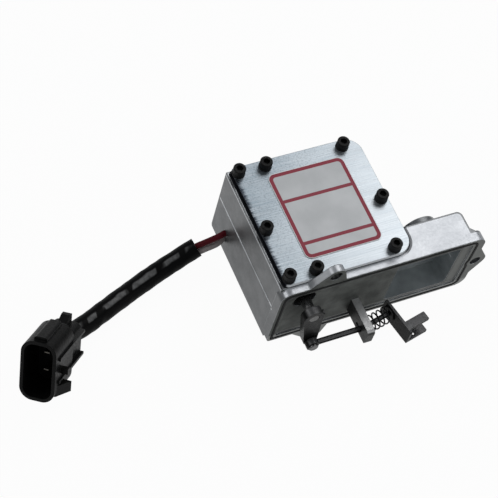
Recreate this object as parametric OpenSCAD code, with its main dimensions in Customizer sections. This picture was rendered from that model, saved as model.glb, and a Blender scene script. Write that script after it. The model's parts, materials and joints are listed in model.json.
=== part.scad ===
// Engine governor actuator for the cover of a distributor injection pump.
// It lies on its back: +X along the nameplate, +Y away from the pump face, +Z out of the cover.

/* [Box casting] */
// Width of the actuator box
box_w = 76; // [72:0.5:90]
// Height of the box from the pump face to its far wall
box_h = 79.2; // [76:0.2:90]
// Depth of the casting from its back to the cover joint
box_d = 48.5; // [47:0.5:56]
// How far the walls swell from the cover joint to the parting line
draft = 1.5; // [0.6:0.1:2.4]
// Height of the parting line above the back
parting_z = 27; // [20:0.5:32]
// How far the casting's rim stands out beside the cover on the left
rim = 1.5; // [0.5:0.1:2]
// Height of the flash along the parting line of the left wall
flash = 0.35; // [0.2:0.05:0.5]
// How far the left wall swells on from the parting line to the back
back_out = 0.8; // [0:0.1:1]
// Left wall, beside the shaft
left_wall = 5.5; // [4.5:0.1:6.5]
// Right wall
right_wall = 10; // [9:0.5:12]
// Far wall, which holds the upper bearing
top_wall = 8; // [7.5:0.1:9]
// Back wall
back_wall = 5; // [4:0.25:6]
// Floor between the pump face and the chamber
floor_t = 12; // [11:0.25:14]
// Small corner radius, on the left
small_r = 2.5; // [1:0.25:4]
// Corner radius of the far left corner
far_r = 5; // [3:0.25:6]
// Large corner radius, on the right
large_r = 9; // [6:0.5:10]

/* [Low section and flange] */
// Length of the low section beyond the box
low_len = 36.6; // [32:0.2:46]
// Height of the low section above the pump face
low_h = 19.8; // [17:0.2:24]
// Roof of the low section over its window
low_roof = 4.8; // [3:0.2:6]
// Wall round the window
window_wall = 6.5; // [5:0.25:8]
// How far the window runs in under the box
window_under = 8.5; // [4:0.5:9.5]
// Thickness of the pump flange
flange_t = 6.1; // [5:0.1:8]
// Flange beyond the low section
flange_reach = 7.1; // [6:0.1:9]
// Flange beyond the box on the left
flange_left = 2.2; // [1.5:0.1:2.6]
// Corner radius of the flange
flange_r = 6; // [3:0.25:8]
// Place of the side ears along the flange
ear_x = 27; // [24:0.5:30]
// Ear hole centre beyond the flange edge
ear_out = 6.2; // [6:0.1:6.8]
// Ear radius
ear_r = 5.4; // [5:0.1:6]
// End lug hole centre beyond the flange end
lug_out = 0; // [0:0.1:1.5]
// End lug radius
lug_r = 6.3; // [5.5:0.1:7.5]
// Diameter of the three flange bolt holes
bolt_hole_d = 6.6; // [6:0.1:7]
// Depth of the step inside the seal
web_step = 1; // [0.4:0.1:1.4]
// Distance of the step from the flange edge
step_inset = 4.6; // [4.5:0.1:4.8]
// Distance of the seal groove from the flange edge
seal_inset = 1.7; // [1.2:0.1:2]
// Width of the seal groove
seal_w = 1.3; // [1:0.1:2.2]
// Depth of the seal groove
seal_depth = 1.6; // [1:0.1:2.4]
// How far the seal stands out of its groove
seal_proud = 0.3; // [0.1:0.05:0.5]
// How much further in the seal and the step lie at the flange end
seal_end = 2.5; // [1:0.1:3]
// Place of the return port along the low section
port_x = 21.5; // [18:0.5:23]
// Diameter of the return port boss
port_d = 21; // [18:0.5:22]
// Height of the return port boss
port_h = 9.5; // [6:0.5:12]
// Diameter of the return port hole
port_hole_d = 8.6; // [8:0.1:10]

/* [Cover] */
// Thickness of the cover plate
cover_t = 2.3; // [1.8:0.1:3]
// Thickness of the cover gasket
gasket_t = 0.5; // [0.3:0.1:1]
// Bottom edge of the cover above the pump face
cover_y = 4.3; // [4:0.1:5]
// Distance of the cover's left edge from the gasket's
cover_in = 0.9; // [0.4:0.1:1]
// Distance of the outer screws from the gasket edge
screw_edge = 4; // [3.8:0.1:4.4]
// Place of the inner left screws along the cover
inner_screw_x = 19.6; // [18.5:0.2:22]
// Distance of the right corner screws from the right edge
corner_screw_in = 10.3; // [9:0.1:11]
// Height of the middle screws above the cover's bottom edge
mid_screw_y = 34; // [30:0.5:38]
// Screw thread diameter
screw_d = 4.1; // [3.5:0.1:4.2]
// Screw length under the head
screw_len = 10; // [8:0.5:10]
// Screw head diameter
head_d = 6.9; // [6.4:0.1:7.1]
// Screw head height
head_h = 4.1; // [3.5:0.1:5]
// Hex socket across flats
socket_af = 3.4; // [2.5:0.1:3.6]
// Lock washer thickness
washer_t = 1.1; // [0.8:0.1:1.5]
// Lock washer outer diameter
washer_od = 7.2; // [6.9:0.1:7.5]
// Left edge of the nameplate from the gasket's left edge
plate_x = 17.7; // [15:0.1:20]
// Right edge of the nameplate from the cover's right edge
plate_right = 13.3; // [12:0.1:18]
// Bottom edge of the nameplate above the cover's edge
plate_y = 10.9; // [9.5:0.1:14]
// Top edge of the nameplate below the cover's far edge
plate_top = 9.9; // [8.5:0.1:14]
// Thickness of the nameplate
plate_t = 0.4; // [0.2:0.1:0.6]

/* [Shaft and bearings] */
// Shaft diameter
shaft_d = 6; // [5:0.1:6.4]
// Place of the shaft from the box's left edge
shaft_x = 13; // [12.5:0.1:14.5]
// Depth of the shaft below the cover joint
shaft_in = 11.5; // [10.5:0.1:12.5]
// Bearing outer diameter
bearing_od = 13; // [11.5:0.1:13.4]
// Bearing width
bearing_w = 5; // [4:0.1:5.5]
// Shaft seal width
shaft_seal_w = 3; // [2:0.1:3.5]
// Radial running clearance of the shaft
run_gap = 0.03; // [0.02:0.005:0.06]

/* [Magnet] */
// Thickness of the armature blade
blade_t = 5; // [4:0.1:6]
// Radius of the armature hub
hub_r = 5; // [4.4:0.1:5.4]
// Thickness of the core stack along the shaft
stack_t = 28; // [22:0.5:30]
// First pole from the shaft
pole_start = 9; // [7.5:0.25:11]
// Room between the bobbin and the right wall
core_clear = 1.6; // [1:0.1:3]
// Width of a pole leg
leg_w = 10; // [9:0.25:11]
// Height of the yoke
yoke_h = 7; // [5:0.25:8]
// Air gap left when the blade is pulled in
pole_gap = 0.6; // [0.4:0.1:1]
// Bobbin wall
bobbin_wall = 1; // [0.6:0.1:1.2]
// Bobbin clearance on the leg
bobbin_gap = 0.2; // [0.1:0.05:0.4]
// Winding depth on the bobbin
winding = 5; // [3.5:0.1:5.5]
// Bobbin below the right pole face
bobbin_under = 0.8; // [0.5:0.1:3]
// Return spring wire
return_wire = 1.2; // [0.8:0.1:1.4]
// Mean radius of the return spring
return_r = 4.6; // [4.2:0.1:4.8]
// Turns of the return spring
return_turns = 4; // [3:0.5:5]

/* [Crank and link] */
// Distance of the crank's back from the pump face
crank_drop = 6.7; // [6:0.1:8]
// Crank thickness
crank_t = 4.6; // [4:0.1:5]
// Crank hub radius
crank_hub_r = 5.6; // [5.4:0.1:6.6]
// Crank tip radius
crank_tip_r = 4; // [3.6:0.1:4.6]
// Fall of the crank tip below the shaft
crank_fall = 25.5; // [24:0.1:26]
// Offset of the crank tip from upright, half of its stroke
crank_lead = 3.5; // [2.5:0.1:3.8]
// Link rod diameter
rod_d = 3.2; // [2.6:0.1:3.6]
// Gap between the crank and the rod eye
eye_gap = 0.2; // [0.1:0.05:0.4]
// Rod eye radius
eye_r = 3.6; // [3.3:0.1:4.2]
// Link pin diameter
pin_d = 3; // [2.4:0.1:3.2]
// Clearance of the pin in the rod eye
pin_gap = 0.35; // [0.3:0.05:0.5]
// Place of the guide post along the flange
post_x = 45; // [42:0.5:50]
// Guide post along the rod
post_w = 4.5; // [3.5:0.1:6]
// Guide post across the rod
post_depth = 11; // [10:0.25:13]
// Guide post reach out of the pump face
post_reach = 20.8; // [19:0.2:24]
// Lower edge of the guide post from the rod
post_under = 3.5; // [3:0.1:4]
// Clearance of the rod in the guide slot
slot_gap = 0.4; // [0.3:0.05:0.6]
// Bend of the rod after the guide post, in degrees
rod_bend = 12; // [6:0.5:14]
// Distance of the hook from the rod's bend
hook_at = 18.7; // [18:0.1:22]
// Hook sheet thickness
hook_t = 1.6; // [1:0.1:2]
// Hook width
hook_w = 11.4; // [10:0.1:12]
// Hook above the rod
hook_up = 5.5; // [5:0.1:7]
// Hook below the rod
hook_down = 17.6; // [15:0.2:20]
// Length of the fork ears
fork_len = 13; // [10:0.2:15]
// Width of the fork ears
fork_w = 5.2; // [4.4:0.1:6]
// Upper fork ear above the lower one
fork_step = 2; // [0.5:0.1:3]
// Hole in the lower fork ear
fork_hole_d = 2.2; // [1.5:0.1:2.6]
// Link spring outer diameter
spring_od = 9.6; // [8.5:0.1:10]
// Link spring wire
spring_wire = 0.85; // [0.7:0.05:1.2]
// Link spring turns
spring_turns = 4; // [3:0.5:4.5]

/* [Lead] */
// Wire diameter
wire_d = 3.4; // [2.4:0.1:3.5]
// Height of the wire exit above the back
exit_z = 9.6; // [9.6:0.1:11]
// Place of the wire exit from the far edge of the box
exit_in = 16; // [15.4:0.1:17]
// Spacing of the two wires at the exit
exit_pitch = 5.5; // [4:0.1:5.5]
// Sleeve diameter
sleeve_d = 11.6; // [11:0.1:12]
// Connector shroud height
shroud_h = 34; // [30:0.5:38]
// Connector shroud width
shroud_w = 19; // [17:0.5:22]
// Connector shroud wall
shroud_wall = 1.8; // [1.2:0.1:2.2]
// Connector shroud depth
shroud_len = 24; // [18:0.5:26]
// Length of the connector's rear block
rear_len = 18; // [14:0.2:20]

/* [Hidden] */
$fn = 48;

// Overlap of a cut with the open side of what it cuts
over = 1;
// Clearance of pieces pressed or bonded into their seats
seat_gap = 0.02;

low_x = box_w + low_len;
flange_end = low_x + flange_reach;
mid_z = box_d / 2;
lug_x = flange_end + lug_out;
window_x0 = box_w - window_under;
window_x1 = low_x - window_wall;
chamber_x1 = box_w - right_wall;
chamber_y1 = box_h - top_wall;
chamber_r = 3;
port_at = box_w + port_x;
back_in = draft * 0.55;
ear_foot_left = 14;
ear_foot_right = 7.5;
ear_t = cover_y - 0.2;
lug_foot = 13;
flash_in = 6;
flash_root = 0.4;
flash_half = 0.8;

joint_z = box_d + gasket_t;
cover_z = joint_z + cover_t;
seat_z = cover_z + washer_t;
screw_places = [[screw_edge, cover_y + screw_edge], [inner_screw_x, cover_y + screw_edge],
    [box_w - corner_screw_in, cover_y + screw_edge], [screw_edge, cover_y + mid_screw_y],
    [box_w - screw_edge, cover_y + mid_screw_y], [screw_edge, box_h - screw_edge],
    [inner_screw_x, box_h - screw_edge], [box_w - corner_screw_in, box_h - screw_edge]];
tap_spare = 0.6;
tap_len = screw_len - washer_t - cover_t - gasket_t + tap_spare;
screw_clear = 0.4;

lip_d = bearing_od - 4;
lip_t = 1;
bearing_y = floor_t - lip_t - bearing_w;
shaft_seal_y = bearing_y - shaft_seal_w;
ring_y = floor_t + 0.4;
ring_t = 0.9;
ring_groove_d = shaft_d - 1.2;
shaft_end_y = chamber_y1 + bearing_w - 0.4;
shaft_start_y = -crank_drop - crank_t - 0.1;
end_chamfer = 0.4;

shaft_z = box_d - shaft_in;
swing = 2 * atan(crank_lead / crank_fall);
flange_over = 0.2;
core_x0 = shaft_x + pole_start;
core_x1 = chamber_x1 - core_clear - flange_over - winding - bobbin_wall - bobbin_gap;
exit_y = box_h - exit_in;
lead_room = 1.4;
coil_y1 = exit_y - lead_room;
tube_y1 = coil_y1 - winding;
stack_y1 = tube_y1 - bobbin_gap - bobbin_wall;
stack_y0 = stack_y1 - stack_t;
tube_y0 = stack_y0 - bobbin_gap - bobbin_wall;
blade_end = core_x1 + 1;
bobbin_flange = 1.2;
bobbin_z = back_wall + yoke_h;
bobbin_h = pole_z(core_x1) - bobbin_z - bobbin_under;
tube_x0 = core_x1 - leg_w - bobbin_gap - bobbin_wall;
tube_x1 = core_x1 + bobbin_gap + bobbin_wall;
coil_z = bobbin_z + bobbin_h / 2;
return_y = stack_y1 + 0.5;
return_len = return_turns * return_wire * 1.2 + return_wire;
return_leg = 9;
tab_x0 = shaft_x + return_r + return_wire / 2 + 0.8;
tab_x1 = tab_x0 + 6;
tab_z = shaft_z - return_r + return_wire / 2 + 0.1;
tab_len = return_wire + 1;
tab_clear = 0.3;
anchor_d = 1.8;
anchor_deep = 3;

crank_y1 = -crank_drop;
crank_y0 = crank_y1 - crank_t;
tip_x = shaft_x + crank_lead;
tip_z = shaft_z - crank_fall;
set_screw_d = 3;
eye_t = rod_d + 0.4;
eye_y1 = crank_y0 - eye_gap;
eye_y0 = eye_y1 - eye_t;
rod_y = (eye_y0 + eye_y1) / 2;
rod_z = tip_z;
pin_head_d = pin_d + 2.4;
pin_head_t = 1.1;
pin_groove_d = pin_d - 0.8;
clip_t = 0.7;
stroke = 2 * crank_lead;
bend_x = post_x + post_w / 2;
post_z0 = rod_z - post_under;
post_tenon = 5;
post_r = 2.6;
slot_rise = (post_w / 2 + stroke) * tan(rod_bend) + 0.2;
hook_x = bend_x + hook_at * cos(rod_bend);
hook_y = rod_y + hook_at * sin(rod_bend);
hook_low = hook_y - hook_down * cos(rod_bend) - hook_t / 2 * sin(rod_bend);
nut_af = 5.5;
nut_t = 1.4;
rod_over = 0.3;
tail_d = rod_d - 0.3;
spring_washer_t = 0.8;
spring_start = (post_w / 2 + spring_od / 2 * sin(rod_bend)) / cos(rod_bend) + 0.2;
spring_end = hook_at - hook_t / 2 - spring_washer_t - 0.1;

potting_w = 3.6;
potting_out = -1.75;
lead_d = 2;

shroud_r = 7;
shroud_floor = 3;
rear_h = 20;
rear_w = 16;
rear_seal_t = 2;
pin_pitch = 10;
pin_blade_w = 2.8;
pin_blade_t = 0.8;
pin_blade_len = 9;

// Where the casting's own zero lies in the part's frame
shift = [-(lug_x + lug_r - draft) / 2, -(box_h + draft + hook_low) / 2, ear_out + ear_r];

// Route of the lead in the part's frame
red_route = [[-64, 36.25, 23.95], [-65, 36.25, 23.95], [-67.2, 35.8, 23.5], [-71.5, 35.95, 21.6], [-76, 36.4, 19.2],
    [-79.6, 36.7, 17.5], [-84.5, 36.5, 15.2], [-90.5, 35.6, 13.1], [-96, 34.3, 11.6]];
white_route = [[-64, 36.25, 18.45], [-65, 36.25, 18.45], [-66.8, 35.2, 18.2], [-69, 34.1, 17.7], [-72, 33.7, 17],
    [-76, 33.75, 15.8], [-79.6, 34, 14.3], [-84.5, 34.3, 12.2], [-90.5, 33.4, 10.2], [-96, 32.2, 8.8]];
sleeve_route = [[-79.6, 36.8, 15.8], [-84.5, 36.3, 13.6], [-90.5, 35.3, 11.6], [-97.4, 33.7, 9.9],
    [-104.5, 31.8, 8.6], [-111.7, 29.6, 7.7], [-119, 27.1, 7.2], [-126.3, 24.4, 6.9],
    [-133.7, 21.5, 6.9], [-141.1, 18.5, 7], [-148.6, 15.4, 7.2], [-155, 13.3, 7.5],
    [-159.6, 11.9, 8.1], [-162.7, 10.4, 9.2]];
connector_at = [-162.7, 10.4, 9.2];
connector_turn = [15, -29.4, 222.7];

// Moves a piece from the casting's own zero to the part's frame
module set_down() {
    translate(shift) children();
}

// Extrudes an outline drawn in X and Z along Y
module along_y(y0, y1) {
    translate([0, y1, 0]) rotate([90, 0, 0]) linear_extrude(y1 - y0) children();
}

// Extrudes an outline drawn in Y and Z along X
module along_x(x0, x1) {
    translate([x0, 0, 0]) rotate([90, 0, 90]) linear_extrude(x1 - x0) children();
}

// A round bar along Y
module bar_y(x, z, d, y0, y1) {
    translate([x, y1, z]) rotate([90, 0, 0]) cylinder(d = d, h = y1 - y0);
}

// A turned piece along Y, its profile given as radius and place along Y
module turned_y(x, z, profile) {
    translate([x, 0, z]) rotate([-90, 0, 0]) rotate_extrude() polygon(profile);
}

// What a corner radius takes away
module corner_cut(x, y, sx, sy, r) {
    translate([x + sx * r, y + sy * r]) mirror([sx > 0 ? 0 : 1, 0]) mirror([0, sy > 0 ? 0 : 1])
        difference() {
            translate([-r - over, -r - over]) square(r + over);
            circle(r);
        }
}

// Rectangle with its own radius on each corner, counted from the lower left
module plate_outline(x0, y0, x1, y1, r) {
    difference() {
        translate([x0, y0]) square([x1 - x0, y1 - y0]);
        corner_cut(x0, y0, 1, 1, r[0]);
        corner_cut(x1, y0, -1, 1, r[1]);
        corner_cut(x1, y1, -1, -1, r[2]);
        corner_cut(x0, y1, 1, -1, r[3]);
    }
}

// Point where a line from p touches a circle, on the side given
function touch(p, c, r, side) =
    let (d = c - p, a = atan2(d[1], d[0]) + side * asin(r / norm(d)), l = sqrt(d * d - r * r))
    p + l * [cos(a), sin(a)];

// Round ear whose sides run down to two feet on an edge
module ear(p0, c, p1, r) {
    translate(c) circle(r);
    polygon([p0, touch(p0, c, r, 1), c, touch(p1, c, r, -1), p1]);
}

// Two discs joined by their outer tangents
module lever_outline(c0, r0, c1, r1) {
    d = c1 - c0;
    b = atan2(d[1], d[0]);
    a = acos((r0 - r1) / norm(d));
    translate(c0) circle(r0);
    translate(c1) circle(r1);
    polygon([c0 + r0 * [cos(b + a), sin(b + a)], c0 + r0 * [cos(b - a), sin(b - a)],
        c1 + r1 * [cos(b - a), sin(b - a)], c1 + r1 * [cos(b + a), sin(b + a)]]);
}

function unit(v) = v / norm(v);

function ring_points(c, x, y, r, n) =
    [for (i = [0:n - 1]) c + r * (cos(360 * i / n) * x + sin(360 * i / n) * y)];

// Skin over rings of points, closed at both ends
module skin(rings) {
    n = len(rings[0]);
    m = len(rings);
    polyhedron([for (q = rings) each q], concat([[for (i = [0:n - 1]) i]],
        [for (k = [0:m - 2]) for (i = [0:n - 1])
            [k * n + i, (k + 1) * n + i, (k + 1) * n + (i + 1) % n, k * n + (i + 1) % n]],
        [[for (i = [n - 1:-1:0]) (m - 1) * n + i]]));
}

// One section of a coil spring's wire, moved along the wire by a slip
function wire_section(r, wire, a, z, slip) =
    let (out = [cos(a), sin(a), 0], way = [-sin(a), cos(a), 0])
    ring_points(r * out + slip * way + [0, 0, z], out, [0, 0, -1], wire / 2, 8);

// Coil spring along Z, with a straight leg at each end where the legs are longer than nothing
module coil_spring(r, wire, turns, length, turn0 = 0, leg0 = 0, leg1 = 0) {
    n = round(turns * 16);
    z0 = wire / 2;
    z1 = length - wire / 2;
    turn1 = turn0 + 360 * turns;
    skin(concat(leg0 > 0 ? [wire_section(r, wire, turn0, z0, -leg0)] : [],
        [for (k = [0:n]) wire_section(r, wire, turn0 + 360 * turns * k / n, z0 + (z1 - z0) * k / n, 0)],
        leg1 > 0 ? [wire_section(r, wire, turn1, z1, leg1)] : []));
}

// Round tube along a route
module tube_along(route, d, sides) {
    m = len(route);
    skin([for (k = [0:m - 1])
        let (t = unit(route[min(k + 1, m - 1)] - route[max(k - 1, 0)]),
            s = unit(cross(t, [0, 0, 1])), u = cross(s, t))
        ring_points(route[k], u, s, d / 2, sides)]);
}

// Puts a piece on the bent end of the rod: X runs along it, -Y down the hook
module on_rod(at) {
    translate([bend_x, rod_y, rod_z]) rotate([0, 0, rod_bend]) translate([at, 0, 0]) children();
}

// The casting's block, its walls drafted both ways from the parting line
module box_block() {
    x0 = -draft;
    x1 = box_w + draft;
    y1 = box_h + draft;
    out = max(draft + back_out, rim);
    intersection() {
        along_y(ear_t, y1) polygon([[x0 - back_out, 0], [x1 - back_in, 0], [x1, parting_z],
            [box_w, box_d], [-rim, box_d], [x0, parting_z]]);
        along_x(-out, x1) polygon([[0, 0], [y1 - back_in, 0], [y1, parting_z], [box_h, box_d], [0, box_d]]);
        linear_extrude(box_d) plate_outline(-out, 0, x1, y1, [small_r, large_r, large_r, far_r]);
    }
}

// Outline of the flange without its ears, drawn in by an inset and further at its end
module flange_base(inset, end = 0) {
    r = max(flange_r - inset, 0.8);
    plate_outline(-flange_left + inset, inset, flange_end - inset - end, box_d - inset,
        [max(small_r - inset, 0.5), r, r, r]);
}

// Outline of the seal loop, stepped in round the end lug's bolt
module seal_outline(inset) {
    difference() {
        flange_base(inset, seal_end);
        translate([lug_x, mid_z]) circle(bolt_hole_d / 2 + inset);
    }
}

// Outline of the two side ears
module side_ears() {
    foot = 0.2;
    for (side = [0, 1])
        translate([0, side * box_d]) mirror([0, side])
            ear([ear_x + ear_foot_right, foot], [ear_x, -ear_out], [ear_x - ear_foot_left, foot], ear_r);
}

// Outline of the flange with its end lug
module flange_outline() {
    foot = flange_end - 0.2;
    flange_base(0);
    ear([foot, mid_z + lug_foot], [lug_x, mid_z], [foot, mid_z - lug_foot], lug_r);
}

// The low section and the step down to the flange at its end
module low_block() {
    step = 2.4;
    nose_r = 3;
    linear_extrude(box_d) difference() {
        polygon([[chamber_x1, 0], [flange_end, 0], [flange_end, flange_t], [low_x + step, flange_t],
            [low_x, flange_t + step], [low_x, low_h], [chamber_x1, low_h]]);
        corner_cut(low_x, low_h, -1, -1, nose_r);
    }
}

// Hole of the wire exit, drawn in Y and Z
module exit_outline(gap) {
    for (side = [-1, 1])
        translate([exit_y, exit_z + side * exit_pitch / 2]) circle(d = potting_w - 2 * gap);
    translate([exit_y - potting_w / 2 + gap, exit_z - exit_pitch / 2])
        square([potting_w - 2 * gap, exit_pitch]);
}

module casting_blocks() {
    difference() {
        box_block();
        translate([0, 0, back_wall]) linear_extrude(box_d)
            plate_outline(left_wall, floor_t, chamber_x1, chamber_y1, [for (i = [0:3]) chamber_r]);
    }
    // flash along the parting line
    along_y(ear_t + flash_in, box_h - flash_in) polygon([[flash_root - draft, parting_z - flash_half],
        [-draft - flash, parting_z], [flash_root - draft, parting_z + flash_half]]);
    // boss of the middle left screw
    translate([screw_edge, cover_y + mid_screw_y, box_d - tap_len - 1.2])
        cylinder(r = screw_edge - 0.2, h = tap_len + 1.2);
    intersection() {
        low_block();
        along_y(-over, low_h + over) flange_base(0);
    }
    along_y(0, flange_t) flange_outline();
    along_y(0, ear_t) side_ears();
    bar_y(port_at, mid_z, port_d, low_h - over, low_h + port_h);
}

module housing() {
    set_down() color([0.62, 0.63, 0.64]) difference() {
        casting_blocks();
        for (p = screw_places)
            translate([p[0], p[1], box_d - tap_len])
                cylinder(d = screw_d + 2 * seat_gap, h = tap_len + over);
        for (z = [-ear_out, box_d + ear_out])
            bar_y(ear_x, z, bolt_hole_d, -over, flange_t + over);
        bar_y(lug_x, mid_z, bolt_hole_d, -over, flange_t + over);
        along_y(-over, web_step) flange_base(step_inset, seal_end);
        along_y(-over, seal_depth) difference() {
            seal_outline(seal_inset);
            seal_outline(seal_inset + seal_w);
        }
        along_y(-over, low_h - low_roof)
            plate_outline(window_x0, window_wall, window_x1, box_d - window_wall,
                [for (i = [0:3]) chamber_r]);
        bar_y(port_at, mid_z, port_hole_d, low_h - low_roof - over, low_h + port_h + over);
        bar_y(shaft_x, shaft_z, bearing_od + 2 * seat_gap, -over, floor_t - lip_t);
        bar_y(shaft_x, shaft_z, lip_d, 0, floor_t + over);
        bar_y(shaft_x, shaft_z, bearing_od + 2 * seat_gap, chamber_y1 - over, chamber_y1 + bearing_w);
        along_x(-draft - back_out - over, left_wall + over) exit_outline(0);
        along_x(post_x - seat_gap, post_x + post_w + seat_gap)
            translate([-over, post_z0 - seat_gap]) square([post_tenon + over, post_depth + 2 * seat_gap]);
        bar_y(anchor_x(), anchor_z(), anchor_d + 2 * seat_gap, chamber_y1 - over, chamber_y1 + anchor_deep);
    }
}

module cover_outline(x0) {
    plate_outline(x0, cover_y, box_w, box_h, [small_r, large_r, large_r, small_r]);
}

// A flat sheet under the screws
module cover_sheet(x0, z, t) {
    translate([0, 0, z]) linear_extrude(t) difference() {
        cover_outline(x0);
        for (p = screw_places)
            translate(p) circle(d = screw_d + screw_clear);
        children();
    }
}

module cover_gasket() {
    set_down() color([0.12, 0.12, 0.13]) cover_sheet(0, box_d, gasket_t)
        plate_outline(left_wall, floor_t, chamber_x1, chamber_y1, [for (i = [0:3]) chamber_r]);
}

module cover_plate() {
    set_down() color([0.84, 0.87, 0.9]) cover_sheet(cover_in, joint_z, cover_t);
}

module nameplate() {
    corner = 4;
    set_down() color([0.72, 0.72, 0.73]) translate([0, 0, cover_z]) linear_extrude(plate_t)
        plate_outline(plate_x, cover_y + plate_y, box_w - plate_right, box_h - plate_top,
            [for (i = [0:3]) corner]);
}

module cap_screw() {
    edge = 0.4;
    socket_deep = head_h * 0.55;
    difference() {
        rotate_extrude() polygon([[0, -screw_len], [screw_d / 2 - edge, -screw_len],
            [screw_d / 2, edge - screw_len], [screw_d / 2, 0], [head_d / 2, 0], [head_d / 2, head_h - edge],
            [head_d / 2 - edge, head_h], [0, head_h]]);
        translate([0, 0, head_h - socket_deep]) cylinder(d = socket_af / cos(30), h = head_h, $fn = 6);
    }
}

module cover_screws() {
    set_down() color([0.09, 0.09, 0.1]) for (p = screw_places)
        translate([p[0], p[1], seat_z]) cap_screw();
}

module lock_washers() {
    slit = 0.6;
    set_down() color([0.16, 0.16, 0.17]) for (p = screw_places)
        translate([p[0], p[1], cover_z]) difference() {
            cylinder(d = washer_od, h = washer_t);
            translate([0, 0, -over]) cylinder(d = screw_d + screw_clear, h = washer_t + 2 * over);
            rotate([20, 0, 40]) translate([0, -slit / 2, -over])
                cube([washer_od, slit, washer_t + 3 * over]);
        }
}

module pump_face_seal() {
    set_down() color([0.06, 0.06, 0.06]) along_y(-seal_proud, seal_depth) difference() {
        seal_outline(seal_inset + seat_gap);
        seal_outline(seal_inset + seal_w - seat_gap);
    }
}

// Shielded ball bearing, its shields set back between the two rings
module bearing(y) {
    r0 = shaft_d / 2 + run_gap;
    r1 = bearing_od / 2;
    wall = 1;
    back = 0.4;
    w = bearing_w;
    turned_y(shaft_x, shaft_z, [for (p = [[r0, 0], [r0 + wall, 0], [r0 + wall, back], [r1 - wall, back],
        [r1 - wall, 0], [r1, 0], [r1, w], [r1 - wall, w], [r1 - wall, w - back], [r0 + wall, w - back],
        [r0 + wall, w], [r0, w]]) [p[0], p[1] + y]]);
}

module lower_bearing() {
    set_down() color([0.75, 0.76, 0.78]) bearing(bearing_y);
}

module upper_bearing() {
    set_down() color([0.75, 0.76, 0.78]) bearing(chamber_y1);
}

// Lip seal: a case with a lip drawn in towards the shaft
module shaft_seal() {
    lip = shaft_d / 2 + run_gap;
    case_in = bearing_od / 2 - 1.2;
    y0 = shaft_seal_y;
    y1 = y0 + shaft_seal_w;
    set_down() color([0.1, 0.1, 0.1]) turned_y(shaft_x, shaft_z, [[bearing_od / 2, y0],
        [bearing_od / 2, y1], [lip + 0.6, y1], [lip, y1 - 0.6], [lip, y1 - 1.2], [case_in, y1 - 1.2],
        [case_in, y0]]);
}

module shaft() {
    r = shaft_d / 2;
    g = ring_groove_d / 2;
    c = end_chamfer;
    set_down() color([0.7, 0.71, 0.73]) turned_y(shaft_x, shaft_z, [[0, shaft_start_y],
        [r - c, shaft_start_y], [r, shaft_start_y + c], [r, ring_y], [g, ring_y], [g, ring_y + ring_t],
        [r, ring_y + ring_t], [r, shaft_end_y - c], [r - c, shaft_end_y], [0, shaft_end_y]]);
}

module retaining_ring() {
    gap = ring_groove_d * 0.55;
    set_down() color([0.3, 0.3, 0.31]) difference() {
        bar_y(shaft_x, shaft_z, shaft_d + 3, ring_y + seat_gap, ring_y + ring_t - seat_gap);
        bar_y(shaft_x, shaft_z, ring_groove_d + 2 * seat_gap, ring_y - over, ring_y + ring_t + over);
        translate([shaft_x, ring_y - over, shaft_z - gap / 2]) cube([shaft_d, ring_t + 2 * over, gap]);
    }
}

module armature() {
    nose = 1.2;
    set_down() color([0.5, 0.51, 0.53]) difference() {
        union() {
            bar_y(shaft_x, shaft_z, 2 * hub_r, stack_y0, stack_y1);
            along_y(stack_y0, stack_y1) polygon([[shaft_x, shaft_z - blade_t / 2],
                [blade_end, shaft_z - blade_t / 2], [blade_end, shaft_z + blade_t / 2 - nose],
                [blade_end - nose, shaft_z + blade_t / 2], [shaft_x, shaft_z + blade_t / 2]]);
            // tab over the return spring's leg, clear of the core's side
            translate([tab_x0, stack_y1 - over, shaft_z - blade_t / 2])
                cube([tab_x1 - tab_x0, tab_len + over, blade_t]);
            translate([tab_x0, stack_y1 + tab_clear, tab_z])
                cube([tab_x1 - tab_x0, tab_len - tab_clear, shaft_z + blade_t / 2 - tab_z]);
        }
        bar_y(shaft_x, shaft_z, shaft_d + 2 * seat_gap, stack_y0 - over, stack_y1 + over);
    }
}

// Height of a pole face under the pulled-in blade
function pole_z(x) = shaft_z - (x - shaft_x) * tan(swing) - blade_t / 2 / cos(swing) - pole_gap;

module magnet_core() {
    inner0 = core_x0 + leg_w;
    inner1 = core_x1 - leg_w;
    set_down() color([0.32, 0.33, 0.35]) along_y(stack_y0, stack_y1) polygon([[core_x0, back_wall],
        [core_x1, back_wall], [core_x1, pole_z(core_x1)], [inner1, pole_z(inner1)], [inner1, bobbin_z],
        [inner0, bobbin_z], [inner0, pole_z(inner0)], [core_x0, pole_z(core_x0)]]);
}

module bobbin_outline(out) {
    plate_outline(tube_x0 - out, tube_y0 - out, tube_x1 + out, tube_y1 + out,
        [for (i = [0:3]) 1 + out / 2]);
}

module bobbin() {
    set_down() color([0.85, 0.83, 0.76]) translate([0, 0, bobbin_z]) difference() {
        union() {
            linear_extrude(bobbin_h) bobbin_outline(0);
            for (z = [0, bobbin_h - bobbin_flange])
                translate([0, 0, z]) linear_extrude(bobbin_flange) bobbin_outline(winding + flange_over);
        }
        translate([core_x1 - leg_w - bobbin_gap, stack_y0 - bobbin_gap, -over])
            cube([leg_w + 2 * bobbin_gap, stack_t + 2 * bobbin_gap, bobbin_h + 2 * over]);
    }
}

module coil() {
    set_down() color([0.6, 0.3, 0.14]) translate([0, 0, bobbin_z + bobbin_flange + seat_gap])
        linear_extrude(bobbin_h - 2 * bobbin_flange - 2 * seat_gap) difference() {
            bobbin_outline(winding);
            bobbin_outline(seat_gap);
        }
}

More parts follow.
